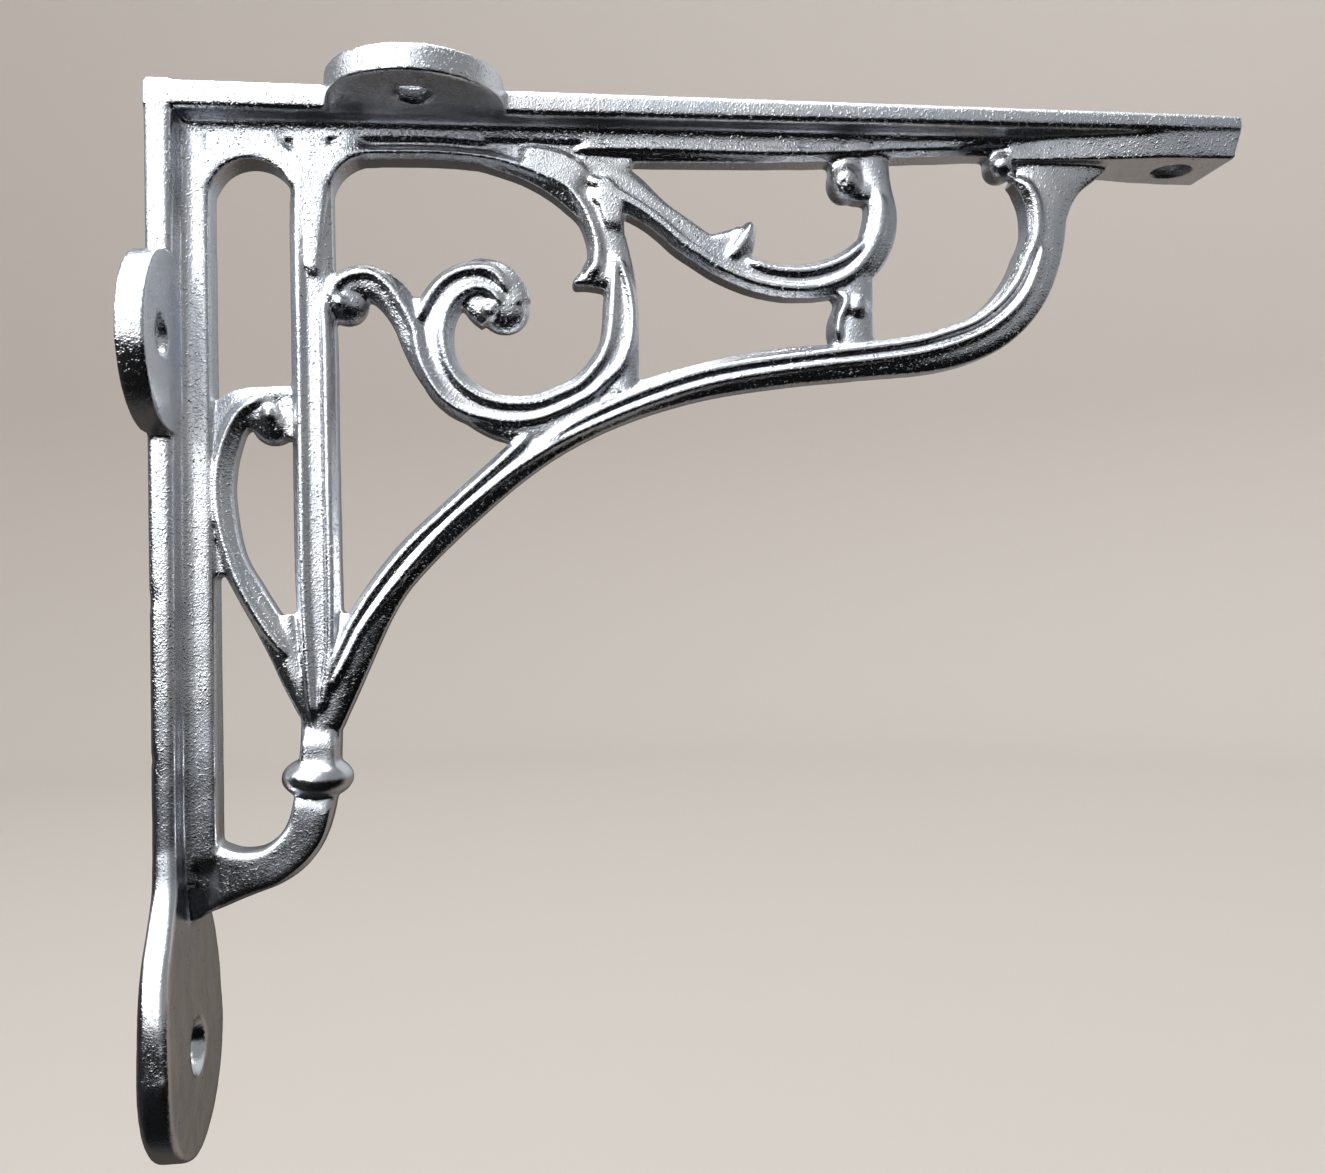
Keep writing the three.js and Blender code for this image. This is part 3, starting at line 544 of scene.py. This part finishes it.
def wall_thick(down):
    if down < plate_end:
        return WALL_ROOT + (WALL_END - WALL_ROOT) * down / plate_end
    return WALL_END + (LUG_THICK - WALL_END) * min(1, (down - plate_end) / LUG_FLARE)


loft([[(t, y, -down) for y, t in broken_edges(half, wall_thick(down))] for down, half in wall_outline])
print(len(faces), "faces in the plates")

# %% [markdown]
# ## Fillets and tip pad
# A hollow fillet carries each plate into the web. Under the tip the rail spreads into a flat pad for the
# outer shelf screw.

# %% Draw the fillets and the pad
web = WEB_THICK / 2
FILLET_STEPS, FILLET_RINGS = 7, 12
hollow = [(web + ROOT_FILLET * (1 - math.sin(a)), -ROOT_FILLET * (1 - math.cos(a)))
          for a in np.radians(np.linspace(0, 90, FILLET_STEPS))]
fillet = [(side * y, d - FILLET_OVERLAP) for side, half_section in ((1, hollow), (-1, reversed(hollow)))
          for y, d in half_section]
fillet += [(-web - ROOT_FILLET, 1), (web + ROOT_FILLET, 1)]
fillet_end = lug_z - 0.8 * LUG_FLARE
loft([[(x, y, z - shelf_thick(x)) for y, z in fillet]
      for x in np.linspace(SHELF_TIP, ARM - 2 * PAD_SLANT, FILLET_RINGS)])
loft([[(wall_thick(down) - x, y, -down) for y, x in reversed(fillet)]
      for down in np.linspace(WALL_END, fillet_end, FILLET_RINGS)])


def pad_ring(setback, low_share, high_share):
    """One section of the pad, at a share of its length behind the tip."""
    top_x = ARM - setback * PAD_LENGTH
    under_x = top_x - (PAD_SLANT if setback == 0 else 0)
    low, high = low_share * PAD_WIDTH, high_share * PLATE_WIDTH
    under, top = -SHELF_TIP - PAD_DEPTH, PAD_EDGE - SHELF_TIP
    return [(under_x, low, under), (top_x, high, top), (top_x, -high, top), (under_x, -low, under)]


PAD_SPREAD = [(1, 0.24, 0.2), (0.8, 0.28, 0.27), (0.55, 0.36, 0.38), (0.42, 0.42, 0.44), (0.32, 0.46, 0.47),
              (0, 0.49, 0.48)]
loft([pad_ring(*shares) for shares in PAD_SPREAD])
print(len(faces), "faces with the fillets and the pad")

# %% [markdown]
# ## Ears, collar and knobs
# Each ear is a round disc in the plane of its plate. The collar and the knobs are round bodies in the web.

# %% Draw the ears, the collar and the knobs
LEVEL, UPRIGHT = ((1, 0, 0), (0, 1, 0)), ((0, 1, 0), (0, 0, 1))
UP, DOWN, OUT = (0, 0, 1), (0, 0, -1), (1, 0, 0)
ear_y = EAR_RADIUS - EAR_REACH - half_plate
ear_faces = [(0, EAR_RADIUS), (EAR_THICK, EAR_RADIUS)]
disc((EAR_SETBACK, ear_y, -EAR_THICK), LEVEL, UP, ear_faces)
disc((0, ear_y, -EAR_SETBACK), UPRIGHT, OUT, ear_faces)
COLLAR_SIDES = 48
ball(COLLAR["x"], 0, COLLAR["z"], COLLAR["across"] / 2, COLLAR["deep"] / 2, COLLAR["tall"] / 2, COLLAR_SIDES)
for x, z, half_x, half_y, half_z in BALLS:
    ball(x, 0, z, half_x, half_y, half_z)
print(len(faces), "faces in the plain pieces")

# %% [markdown]
# ## One casting
# All pieces are joined into one mesh, each with its faces turned outwards.

# %% Join the pieces
def outward(mesh):
    """Turns the faces of a closed mesh outwards."""
    work = bmesh.new()
    work.from_mesh(mesh)
    bmesh.ops.recalc_face_normals(work, faces=work.faces)
    work.to_mesh(mesh)
    work.free()


plain = bpy.data.meshes.new("plain pieces")
plain.from_pydata([(x * MM, y * MM, z * MM) for x, y, z in verts], [], faces)
joined = bmesh.new()
for part in [plain, *moulded]:
    outward(part)
    joined.from_mesh(part)
rough = bpy.data.meshes.new("rough casting")
joined.to_mesh(rough)
joined.free()
casting = object_of("casting", rough)
print(len(rough.polygons), "faces in the rough casting")

# %% [markdown]
# ## Screw holes
# Four countersunk holes: one through each ear, one through the lug and one through the tip pad.

# %% Draw the screw holes
verts, faces = [], []
ear_hole_y = -half_plate - EAR_HOLE_REACH


def screw_hole(centre, across_axes, along_axis, bore, sink, thick):
    """A countersunk hole from the mouth inwards, a little longer than the metal is thick."""
    through = [(-thick - CUT_OVERRUN, bore / 2), (-SINK_DEPTH, bore / 2)]
    disc(centre, across_axes, along_axis, through + [(0, sink / 2), (CUT_OVERRUN, sink / 2 + 1)])


screw_hole((EAR_SETBACK, ear_hole_y, -EAR_THICK), LEVEL, DOWN, EAR_BORE, EAR_SINK, EAR_THICK)
screw_hole((EAR_THICK, ear_hole_y, -EAR_SETBACK), UPRIGHT, OUT, EAR_BORE, EAR_SINK, EAR_THICK)
screw_hole((LUG_THICK, 0, -lug_z), UPRIGHT, OUT, LUG_BORE, LUG_SINK, LUG_THICK)
screw_hole((ARM - TIP_HOLE_SETBACK, 0, -SHELF_TIP - PAD_DEPTH), LEVEL, DOWN, TIP_BORE, TIP_SINK,
           SHELF_TIP + PAD_DEPTH)
drill_mesh = bpy.data.meshes.new("screw holes")
drill_mesh.from_pydata([(x * MM, y * MM, z * MM) for x, y, z in verts], [], faces)
outward(drill_mesh)
drill = object_of("screw holes", drill_mesh)
print(len(drill_mesh.polygons), "faces in the screw holes")

# %% [markdown]
# ## One skin
# The joined pieces become one skin of small cells, which is then drilled. Smoothing rounds every edge and
# corner, as a sand mould does.

# %% Make the skin
CELL = 0.26
skin = casting.modifiers.new("one skin", "REMESH")
skin.mode = "VOXEL"
skin.voxel_size = CELL * MM
cut = casting.modifiers.new("drill", "BOOLEAN")
cut.operation = "DIFFERENCE"
cut.solver = "MANIFOLD"
cut.object = drill
soften = casting.modifiers.new("soften", "SMOOTH")
soften.factor = 0.5
soften.iterations = 7
print("cells of", CELL, "mm")

# %% [markdown]
# ## Casting skin
# Sand leaves low waves over the whole surface. The wave is a node tree that moves every point along its
# normal.

# %% Add the waves
waves = bpy.data.node_groups.new("sand waves", "GeometryNodeTree")
waves.interface.new_socket("Casting", in_out="INPUT", socket_type="NodeSocketGeometry")
wave_socket = waves.interface.new_socket("Wave height", in_out="INPUT", socket_type="NodeSocketFloat")
grain_socket = waves.interface.new_socket("Grain height", in_out="INPUT", socket_type="NodeSocketFloat")
metal_in = waves.interface.new_socket("Metal", in_out="INPUT", socket_type="NodeSocketMaterial")
waves.interface.new_socket("Casting", in_out="OUTPUT", socket_type="NodeSocketGeometry")
given = waves.nodes.new("NodeGroupInput")
result = waves.nodes.new("NodeGroupOutput")
move = waves.nodes.new("GeometryNodeSetPosition")
normal = waves.nodes.new("GeometryNodeInputNormal")
stretch = waves.nodes.new("ShaderNodeVectorMath")
stretch.operation = "SCALE"
realize = waves.nodes.new("GeometryNodeRealizeInstances")
paint = waves.nodes.new("GeometryNodeSetMaterial")
link = waves.links.new
heights = []
for socket_name, cells_per_m, detail in (("Wave height", 260, 2.0), ("Grain height", 1300, 1.0)):
    field = node(waves, "ShaderNodeTexNoise", Scale=cells_per_m, Detail=detail, Roughness=0.5)
    centred = waves.nodes.new("ShaderNodeMath")
    centred.operation = "SUBTRACT"
    centred.inputs[1].default_value = 0.5
    link(field.outputs["Fac"], centred.inputs[0])
    heights.append(math_node(waves, "MULTIPLY", centred.outputs[0], given.outputs[socket_name]))
total = math_node(waves, "ADD", heights[0], heights[1])
link(normal.outputs["Normal"], stretch.inputs[0])
link(total, stretch.inputs["Scale"])
link(given.outputs["Casting"], move.inputs["Geometry"])
link(stretch.outputs["Vector"], move.inputs["Offset"])
link(move.outputs["Geometry"], realize.inputs["Geometry"])
link(realize.outputs["Geometry"], paint.inputs["Geometry"])
link(given.outputs["Metal"], paint.inputs["Material"])
link(paint.outputs["Geometry"], result.inputs["Casting"])

# The heights are in millimetres.
WAVE_HEIGHT, GRAIN_HEIGHT = 0.11, 0.02
uneven = casting.modifiers.new("sand waves", "NODES")
uneven.node_group = waves
uneven[wave_socket.identifier] = WAVE_HEIGHT * MM
uneven[grain_socket.identifier] = GRAIN_HEIGHT * MM
uneven[metal_in.identifier] = metal
fine = plain_mesh(casting, "fine casting")
print(len(fine.polygons), "faces before thinning")

# %% [markdown]
# ## Thinning
# The fine skin is thinned to a number of triangles that a piece may have.

# %% Thin the skin
FACE_LIMIT = 190000
triangles = sum(len(p.vertices) - 2 for p in fine.polygons)
bracket = object_of("bracket_casting", fine)
thin = bracket.modifiers.new("thin", "DECIMATE")
thin.ratio = min(1, FACE_LIMIT / triangles)
thinned = plain_mesh(bracket, "bracket_casting")
bracket.modifiers.clear()
bracket.data = thinned
for spare in (casting, drill, body_lines, fill_lines, flat_lines, ridge_lines,
              body_section, ridge_section, flat_section):
    bpy.data.objects.remove(spare)
print(triangles, "->", len(thinned.polygons), "triangles")

# %% [markdown]
# ## Chips and pits
# Each is a shallow dent round one place: across, front to back, down, radius and depth. Small pits crowd
# the lower bevel of the long arc.

# %% Chip and pit the surface
co = np.empty(len(thinned.vertices) * 3)
thinned.vertices.foreach_get("co", co)
co = co.reshape(-1, 3)
direction = np.empty(len(thinned.vertices) * 3)
thinned.vertices.foreach_get("normal", direction)
direction = direction.reshape(-1, 3)
CHIPS = [(23.2, -2.4, -57.8, 0.9, 0.35), (0.2, -6.4, -67.5, 1.6, 0.25), (3.5, -6.4, -41.0, 1.4, 0.25),
         (0.0, -6.4, -88.0, 1.3, 0.25), (94.1, -3.0, -11.5, 0.8, 0.5), (117.1, -2.8, -8.2, 0.7, 0.45),
         (93.6, -3.0, -10.2, 0.5, 0.25)]
PIT_SEED, PIT_COUNT, PIT_START, PIT_FRONT = 11, 70, 60, -2.1
chance = np.random.default_rng(PIT_SEED)
long_arc = smooth_line(MEMBERS["sweep"])[PIT_START:]
last_step = long_arc[-1:, :2] - long_arc[-2:-1, :2]
run = np.diff(long_arc[:, :2], axis=0, append=long_arc[-1:, :2] + last_step)
run /= np.linalg.norm(run, axis=1)[:, None]
for i in chance.choice(len(long_arc), PIT_COUNT, replace=False):
    x, z, half = long_arc[i]
    out = half * chance.uniform(0.5, 0.95)
    radius, depth = chance.uniform(0.3, 0.55), chance.uniform(0.08, 0.2)
    CHIPS.append((x - run[i, 1] * out, PIT_FRONT, z + run[i, 0] * out, radius, depth))
for x, y, z, radius, depth in CHIPS:
    away = np.linalg.norm(co / MM - (x, y, z), axis=1) / radius
    dent = np.where(away < 1, (1 - away**2) ** 2, 0) * depth * MM
    co -= direction * dent[:, None]
co[:, 2] += EAR_SETBACK * MM
co = np.clip(co, np.array(cad_low) + 1e-6, np.array(cad_high) - 1e-6)
thinned.vertices.foreach_set("co", co.ravel())
thinned.update()
thinned.shade_smooth()
print(len(CHIPS), "chips and pits")

# %% [markdown]
# ## Helpers for the plating
# Noise spots, a change of range, one operation on two numbers and a mix of two colours. The noise is placed
# on the piece itself.

# %% Write the plating helpers
metal.use_nodes = True
tree = metal.node_tree
tree.nodes.clear()
link = tree.links.new
shader = tree.nodes.new("ShaderNodeBsdfPrincipled")
shader.inputs["Metallic"].default_value = 1.0
output = tree.nodes.new("ShaderNodeOutputMaterial")
link(shader.outputs["BSDF"], output.inputs["Surface"])
where = tree.nodes.new("ShaderNodeTexCoord").outputs["Object"]


def spots(scale, detail=2.0, rough=0.5):
    """Soft noise, in so many cells a metre."""
    field = tree.nodes.new("ShaderNodeTexNoise")
    field.inputs["Scale"].default_value = scale
    field.inputs["Detail"].default_value = detail
    field.inputs["Roughness"].default_value = rough
    link(where, field.inputs["Vector"])
    return field.outputs["Fac"]


def remap(value, low, high, to_low=0.0, to_high=1.0):
    """Stretches a range of numbers to another one."""
    made = tree.nodes.new("ShaderNodeMapRange")
    for name, number in (("From Min", low), ("From Max", high), ("To Min", to_low), ("To Max", to_high)):
        made.inputs[name].default_value = number
    link(value, made.inputs["Value"])
    return made.outputs["Result"]


def combine(operation, a, b):
    """One operation on two numbers or sockets."""
    made = tree.nodes.new("ShaderNodeMath")
    made.operation = operation
    for socket, value in zip(made.inputs, (a, b)):
        if isinstance(value, (int, float)):
            socket.default_value = value
        else:
            link(value, socket)
    return made.outputs[0]


def tint(factor, first, second):
    """A mix of two colours."""
    made = tree.nodes.new("ShaderNodeMix")
    made.data_type = "RGBA"
    link(factor, made.inputs["Factor"])
    for name, colour in (("A", first), ("B", second)):
        socket = next(s for s in made.inputs if s.name == name and s.type == "RGBA")
        if isinstance(colour, tuple):
            socket.default_value = colour
        else:
            link(colour, socket)
    return next(s for s in made.outputs if s.type == "RGBA")


print("spots, remap, combine and tint")

# %% [markdown]
# ## Bright plating
# The plating is a metal with a cool tint that changes in patches, and so does its roughness. Fine grain,
# pimples and pits are in the bump, and pits are darker. The foot and the lug are smoother than the rest.

# %% Mix the plating
PALE_PLATING, COOL_PLATING, PIT_COLOUR = (0.93, 0.94, 0.96, 1), (0.82, 0.85, 0.91, 1), (0.25, 0.25, 0.27, 1)
FOOT_LEVEL, STILE_LEVEL = -0.056, -0.030
BUMP_HEIGHT = 0.00009
patches = remap(spots(90, 3.0), 0.4, 0.62)
grain = spots(3800, 2.0, 0.6)
pimples = remap(spots(2300, 1.0, 0.6), 0.58, 0.74)
pits = remap(spots(1700, 1.0, 0.6), 0.72, 0.80)
plating = tint(patches, PALE_PLATING, COOL_PLATING)
link(tint(pits, plating, PIT_COLOUR), shader.inputs["Base Color"])
rough_patch = remap(patches, 0, 1, 0.11, 0.20)
link(combine("ADD", rough_patch, remap(grain, 0.3, 0.7, 0.0, 0.08)), shader.inputs["Roughness"])
fine_bump = tree.nodes.new("ShaderNodeBump")
height_up = tree.nodes.new("ShaderNodeSeparateXYZ")
link(where, height_up.inputs["Vector"])
link(remap(height_up.outputs["Z"], FOOT_LEVEL, STILE_LEVEL, 0.2, 0.6), fine_bump.inputs["Strength"])
fine_bump.inputs["Distance"].default_value = BUMP_HEIGHT
lumps = combine("ADD", grain, combine("MULTIPLY", pimples, 0.8))
link(combine("SUBTRACT", lumps, pits), fine_bump.inputs["Height"])
link(fine_bump.outputs["Normal"], shader.inputs["Normal"])
print(len(tree.nodes), "nodes in the plating")

# %% [markdown]
# ## Hand the piece to the frame
# The fine casting rides on the row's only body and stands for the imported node.

# %% Place the casting
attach(bracket, "root")
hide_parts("bracket")
print("bracket_casting stands for", sorted(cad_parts))

# %% [markdown]
# ## Floor
# A pale floor runs up into a far round backdrop. It doesn't show in the metal, which mirrors only the
# lights and the sky.

# %% Build the floor
FLOOR_Z = -0.25
ROOM_RADIUS, ROOM_HEIGHT, CURVE = 2.2, 2.6, 0.6
profile = [(0.001, 0), (1.0, 0), (ROOM_RADIUS - CURVE, 0)]
profile += [(ROOM_RADIUS - CURVE + CURVE * math.sin(a), CURVE - CURVE * math.cos(a))
            for a in np.radians(np.arange(6, 91, 6))]
profile += [(ROOM_RADIUS, ROOM_HEIGHT)]
SIDES = 96
room_points = [(r * math.cos(a), r * math.sin(a), z + FLOOR_Z)
               for r, z in profile for a in np.linspace(0, 2 * math.pi, SIDES, endpoint=False)]
room_faces = []
for k in range(0, (len(profile) - 1) * SIDES, SIDES):
    for i in range(SIDES):
        j = (i + 1) % SIDES
        room_faces.append((k + i, k + j, k + SIDES + j, k + SIDES + i))
room_mesh = bpy.data.meshes.new("floor")
room_mesh.from_pydata(room_points, [], room_faces)
room_mesh.shade_smooth()
floor = object_of("floor", room_mesh)
floor.visible_glossy = False
pale = bpy.data.materials.new("pale floor")
pale.use_nodes = True
pale.node_tree.nodes["Principled BSDF"].inputs["Base Color"].default_value = (0.62, 0.58, 0.54, 1)
pale.node_tree.nodes["Principled BSDF"].inputs["Roughness"].default_value = 0.9
room_mesh.materials.append(pale)
print(len(room_faces), "faces in the floor and its backdrop")

# %% [markdown]
# ## Lights
# A large soft light stands behind the camera at the upper left, like a window. A second one hangs overhead,
# and a wide one high up lights the floor.

# %% Hang the lights
def soft_light(name, spot, target, width, height, brightness, colour=(1, 1, 1)):
    """An area light whose face is as bright as the number says, where 1 is white in the picture."""
    lamp = bpy.data.lights.new(name, "AREA")
    lamp.shape = "RECTANGLE"
    lamp.size, lamp.size_y = width, height
    lamp.energy = brightness * math.pi * width * height
    lamp.color = colour
    made = bpy.data.objects.new(name, lamp)
    made.location = spot
    made.rotation_mode = "QUATERNION"
    made.rotation_quaternion = (Vector(target) - Vector(spot)).to_track_quat("-Z", "Y")
    bpy.context.scene.collection.objects.link(made)


middle = (0.06, 0, -0.03)
soft_light("window light", (-0.42, -0.60, 0.36), middle, 0.60, 0.70, 1.6, (1.0, 0.99, 0.98))
soft_light("overhead light", (0.0, 0.0, 0.75), middle, 0.7, 0.5, 1.1, (0.97, 0.98, 1.0))
soft_light("room light", (0, 0, 2.2), (0, 0, 0), 2.4, 2.4, 1.5)
print(len(bpy.data.lights), "lights")

# %% [markdown]
# ## Sky
# The bright metal mirrors a sky whose brightness depends only on the direction. In front it is a grey room
# with a white window on the left and a black table below. Behind the bracket it is pale on the right and
# brown below.

# %% Colour the sky
world = bpy.data.worlds.new("studio")
bpy.context.scene.world = world
world.use_nodes = True
sky = world.node_tree


def sky_step(value, low, high, to_low=0.0, to_high=1.0):
    """A soft step of the sky's brightness."""
    made = sky.nodes.new("ShaderNodeMapRange")
    made.interpolation_type = "SMOOTHSTEP"
    for name, number in (("From Min", low), ("From Max", high), ("To Min", to_low), ("To Max", to_high)):
        made.inputs[name].default_value = number
    sky.links.new(value, made.inputs["Value"])
    return made.outputs["Result"]


def sky_sum(operation, a, b):
    """One operation on two numbers or sockets of the sky."""
    made = sky.nodes.new("ShaderNodeMath")
    made.operation = operation
    for socket, value in zip(made.inputs, (a, b)):
        if isinstance(value, (int, float)):
            socket.default_value = value
        else:
            sky.links.new(value, socket)
    return made.outputs[0]


split = sky.nodes.new("ShaderNodeSeparateXYZ")
sky.links.new(sky.nodes.new("ShaderNodeTexCoord").outputs["Generated"], split.inputs["Vector"])
right, back, up = (split.outputs[axis] for axis in "XYZ")
leftness = sky_sum("SUBTRACT", sky_sum("MULTIPLY", up, 0.4), right)
window = sky_step(leftness, 0.10, 0.22, 0.46, 1.6)
shade = sky_step(right, 0.15, 0.6, 1.0, 0.55)
far_left = sky_sum("MINIMUM", right, -0.15)
table_edge = sky_sum("ADD", sky_sum("MULTIPLY", far_left, 0.45), up)
above_table = sky_step(table_edge, -0.19, -0.13, 0.012, 1.0)
front = sky_sum("MULTIPLY", sky_sum("MULTIPLY", window, shade), above_table)
rear = sky_sum("ADD", sky_step(right, 0.0, 0.5, 0.10, 0.38), sky_step(up, 0.0, 0.5, 0.0, 0.2))
behind = sky_step(back, -0.1, 0.3)
front_part = sky_sum("MULTIPLY", front, sky_sum("SUBTRACT", 1.0, behind))
brightness = sky_sum("ADD", front_part, sky_sum("MULTIPLY", rear, behind))
sky.links.new(brightness, sky.nodes["Background"].inputs["Strength"])
sky_colour = sky.nodes.new("ShaderNodeMix")
sky_colour.data_type = "RGBA"
low_rear = sky_sum("MULTIPLY", behind, sky_step(up, -0.2, 0.1, 1.0, 0.0))
sky.links.new(low_rear, sky_colour.inputs["Factor"])
COOL_SKY, BROWN_SKY = (0.95, 0.975, 1.0, 1), (0.60, 0.52, 0.46, 1)
for name, colour in (("A", COOL_SKY), ("B", BROWN_SKY)):
    next(k for k in sky_colour.inputs if k.name == name and k.type == "RGBA").default_value = colour
mixed = next(k for k in sky_colour.outputs if k.type == "RGBA")
sky.links.new(mixed, sky.nodes["Background"].inputs["Color"])
bpy.context.scene.view_settings.view_transform = "Standard"
print(len(sky.nodes), "nodes in the sky")

# %% [markdown]
# ## Camera
# The camera was found from the bracket's own square corner in the photograph, whose picture is 1325 by 1173
# pixels. It stands 166 mm in front of the web. Its height was found from the outer corner, which is
# EAR_SETBACK above the origin.

# %% Set the camera
FOCAL_PIXELS, PICTURE_WIDTH, SENSOR = 1195.5, 1325, 36.0
TURN = Vector((-0.01781322, -0.12455157, -0.01790903))
STAND = Vector((0.0462466, -0.1659404, -0.0695077 + EAR_SETBACK * MM))
eye = bpy.data.cameras.new("camera")
eye.sensor_width = SENSOR
eye.lens = SENSOR * FOCAL_PIXELS / PICTURE_WIDTH
camera = bpy.data.objects.new("camera", eye)
bpy.context.scene.collection.objects.link(camera)
turned = Matrix.Rotation(TURN.length, 3, TURN.normalized()) @ Matrix(((1, 0, 0), (0, 0, -1), (0, 1, 0)))
to_right, down, ahead = turned
axes = Matrix((to_right, -down, -ahead)).transposed().to_4x4()
axes.translation = STAND
camera.matrix_world = axes
eye.clip_start = 0.01
eye.clip_end = 20
bpy.context.scene.camera = camera
print("lens", round(eye.lens, 2), "mm")
